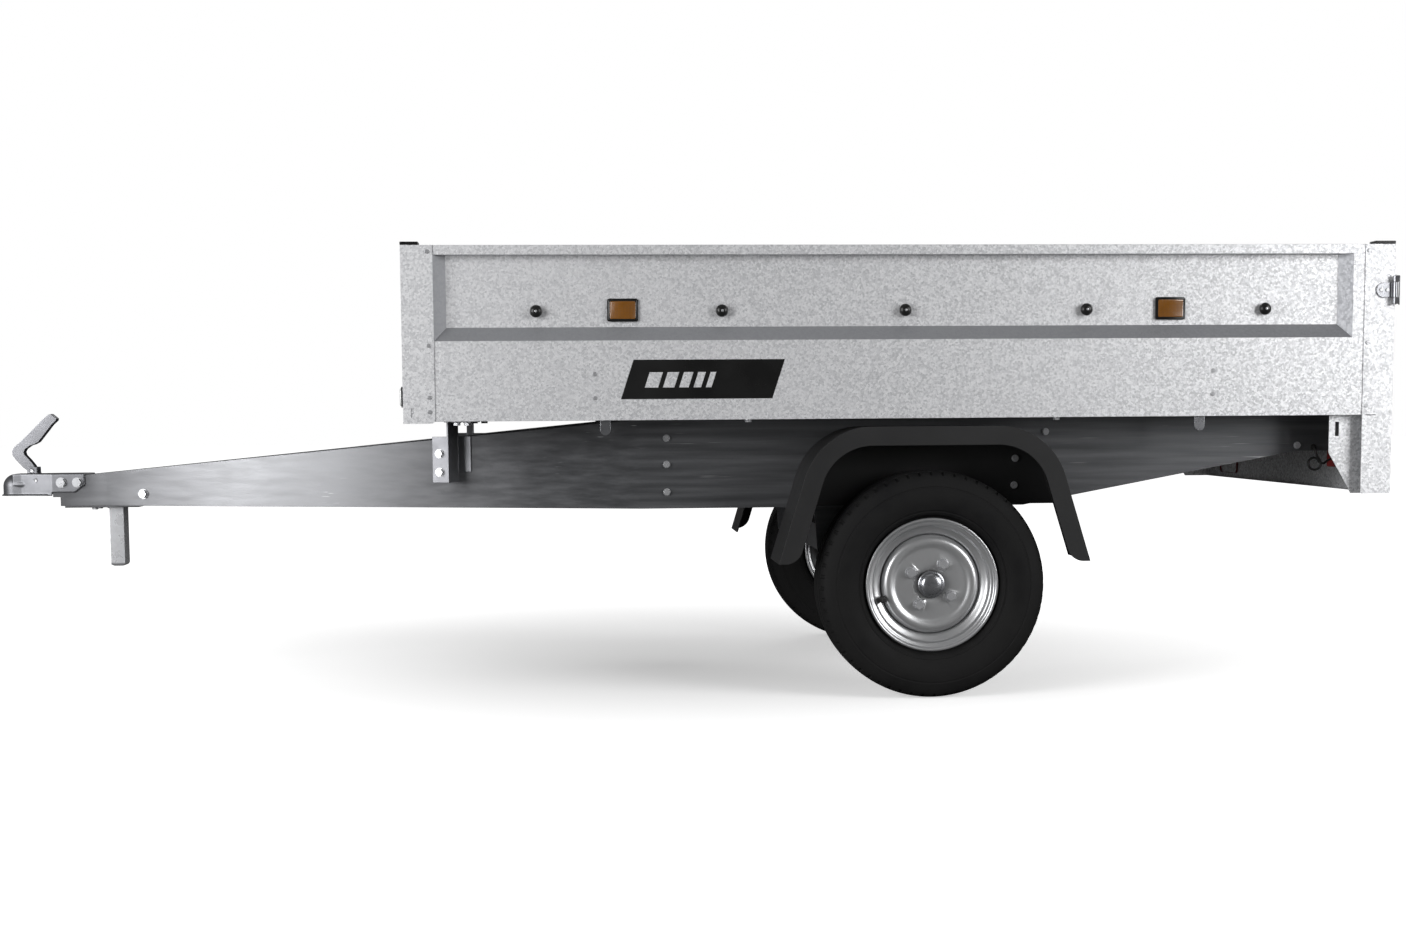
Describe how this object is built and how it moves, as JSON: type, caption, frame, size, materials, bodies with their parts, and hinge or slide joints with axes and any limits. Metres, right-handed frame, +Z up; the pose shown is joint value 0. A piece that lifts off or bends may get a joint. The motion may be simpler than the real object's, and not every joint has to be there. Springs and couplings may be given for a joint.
{
  "type": "single-axle box trailer",
  "caption": "Unbraked single-axle box trailer with pressed galvanised sides, drop tailgate, rubber torsion axle, fenders and a ball coupling on a converging channel drawbar.",
  "frame": {"origin": "on the ground, below the middle of the trailer's length and width", "axes": "-X towards the coupling (direction of travel), +X towards the tailgate, +Y to the right-hand side, +Z up"},
  "size_m": [3.126, 1.204, 0.9675],
  "materials": {
    "galvanised_heavy": "hot-dip galvanised, satin with streaks",
    "spangled_sheet": "galvanised sheet with fine spangle",
    "zinc_plated": "bright zinc plating",
    "steel_pin": "machined steel, lightly oiled",
    "hub_paint": "black paint on cast iron",
    "wheel_silver": "satin silver wheel paint",
    "tyre_rubber": "matt black tyre rubber",
    "black_rubber": "soft black rubber",
    "fender_plastic": "dark grey textured moulding",
    "black_plastic": "black moulded plastic",
    "amber_lens": "amber reflector with prism grid",
    "white_lens": "clear front marker on a black base",
    "red_housing": "red lamp body",
    "red_lens": "red and amber lamp lens",
    "floor_board": "film-faced plywood with a mesh print"
  },
  "bodies": {
    "chassis": {"rail_left": "galvanised_heavy", "rail_right": "galvanised_heavy", "cross_members": "galvanised_heavy", "nose_plate": "galvanised_heavy", "riser_brackets": "zinc_plated", "frame_bolts": "zinc_plated", "parking_leg": "galvanised_heavy", "coupling_housing": "zinc_plated", "coupling_pins": "steel_pin", "clamp_spring": "steel_pin", "axle_tube": "galvanised_heavy", "rubber_cords": "black_rubber", "fender_left": "fender_plastic", "fender_right": "fender_plastic", "floor_panel": "floor_board", "side_left": "spangled_sheet", "side_right": "spangled_sheet", "front_panel": "spangled_sheet", "corner_posts": "spangled_sheet", "post_caps": "black_plastic", "rivets": "zinc_plated", "cover_knobs": "black_plastic", "amber_reflectors": "amber_lens", "front_markers": "white_lens", "tie_down_tabs": "zinc_plated", "sill_hinges": "zinc_plated", "hinge_pins": "steel_pin", "latch_brackets": "zinc_plated", "lamp_panel": "spangled_sheet", "lamp_bodies": "red_housing", "lamp_lenses": "red_lens", "plate_holder": "black_plastic", "lamp_leads": "black_rubber", "grommets": "black_rubber"},
    "arm_left": {"arm_left": "galvanised_heavy", "stub_axle_left": "steel_pin"},
    "arm_right": {"arm_right": "galvanised_heavy", "stub_axle_right": "steel_pin"},
    "wheel_left": {"hub_left": "hub_paint", "bearings_left": "steel_pin", "dust_cap_left": "zinc_plated", "rim_left": "wheel_silver", "tyre_left": "tyre_rubber", "valve_left": "black_rubber", "wheel_bolts_left": "zinc_plated"},
    "wheel_right": {"hub_right": "hub_paint", "bearings_right": "steel_pin", "dust_cap_right": "zinc_plated", "rim_right": "wheel_silver", "tyre_right": "tyre_rubber", "valve_right": "black_rubber", "wheel_bolts_right": "zinc_plated"},
    "handle": {"coupling_handle": "zinc_plated"},
    "clamp": {"ball_clamp": "steel_pin"},
    "tailgate": {"tailgate": "spangled_sheet", "gate_hinges": "zinc_plated"},
    "latch_left": {"latch_lever_left": "zinc_plated"},
    "latch_right": {"latch_lever_right": "zinc_plated"}
  },
  "joints": [
    {"name": "suspension_left", "type": "hinge", "parent": "chassis", "child": "arm_left", "pos_m": [0.38605, -0.415, 0.315], "axis": [0, -1, 0], "range_deg": [-5, 20], "stiffness_Nm_per_rad": 1000, "springref_deg": -5.73},
    {"name": "wheel_spin_left", "type": "hinge", "parent": "arm_left", "child": "wheel_left", "pos_m": [0.54105, -0.525, 0.243], "axis": [0, 1, 0], "continuous": true},
    {"name": "suspension_right", "type": "hinge", "parent": "chassis", "child": "arm_right", "pos_m": [0.38605, 0.415, 0.315], "axis": [0, -1, 0], "range_deg": [-5, 20], "stiffness_Nm_per_rad": 1000, "springref_deg": -5.73},
    {"name": "wheel_spin_right", "type": "hinge", "parent": "arm_right", "child": "wheel_right", "pos_m": [0.54105, 0.525, 0.243], "axis": [0, 1, 0], "continuous": true},
    {"name": "handle_turn", "type": "hinge", "parent": "chassis", "child": "handle", "pos_m": [-1.48795, 0, 0.4865], "axis": [0, 1, 0], "range_deg": [0, 50]},
    {"name": "clamp_turn", "type": "hinge", "parent": "chassis", "child": "clamp", "pos_m": [-1.47395, 0, 0.464], "axis": [0, 1, 0], "range_deg": [0, 8]},
    {"name": "tailgate_swing", "type": "hinge", "parent": "chassis", "child": "tailgate", "pos_m": [1.54805, 0, 0.6092], "axis": [0, 1, 0], "range_deg": [0, 170]},
    {"name": "latch_left_swing", "type": "hinge", "parent": "chassis", "child": "latch_left", "pos_m": [1.53705, -0.58, 0.863], "axis": [0, 0, -1], "range_deg": [-25, 95]},
    {"name": "latch_right_swing", "type": "hinge", "parent": "chassis", "child": "latch_right", "pos_m": [1.53705, 0.58, 0.863], "axis": [0, 0, 1], "range_deg": [-25, 95]}
  ],
  "couplings": [
    {"joint": "clamp_turn", "follows": "handle_turn", "ratio": 0.16}
  ]
}
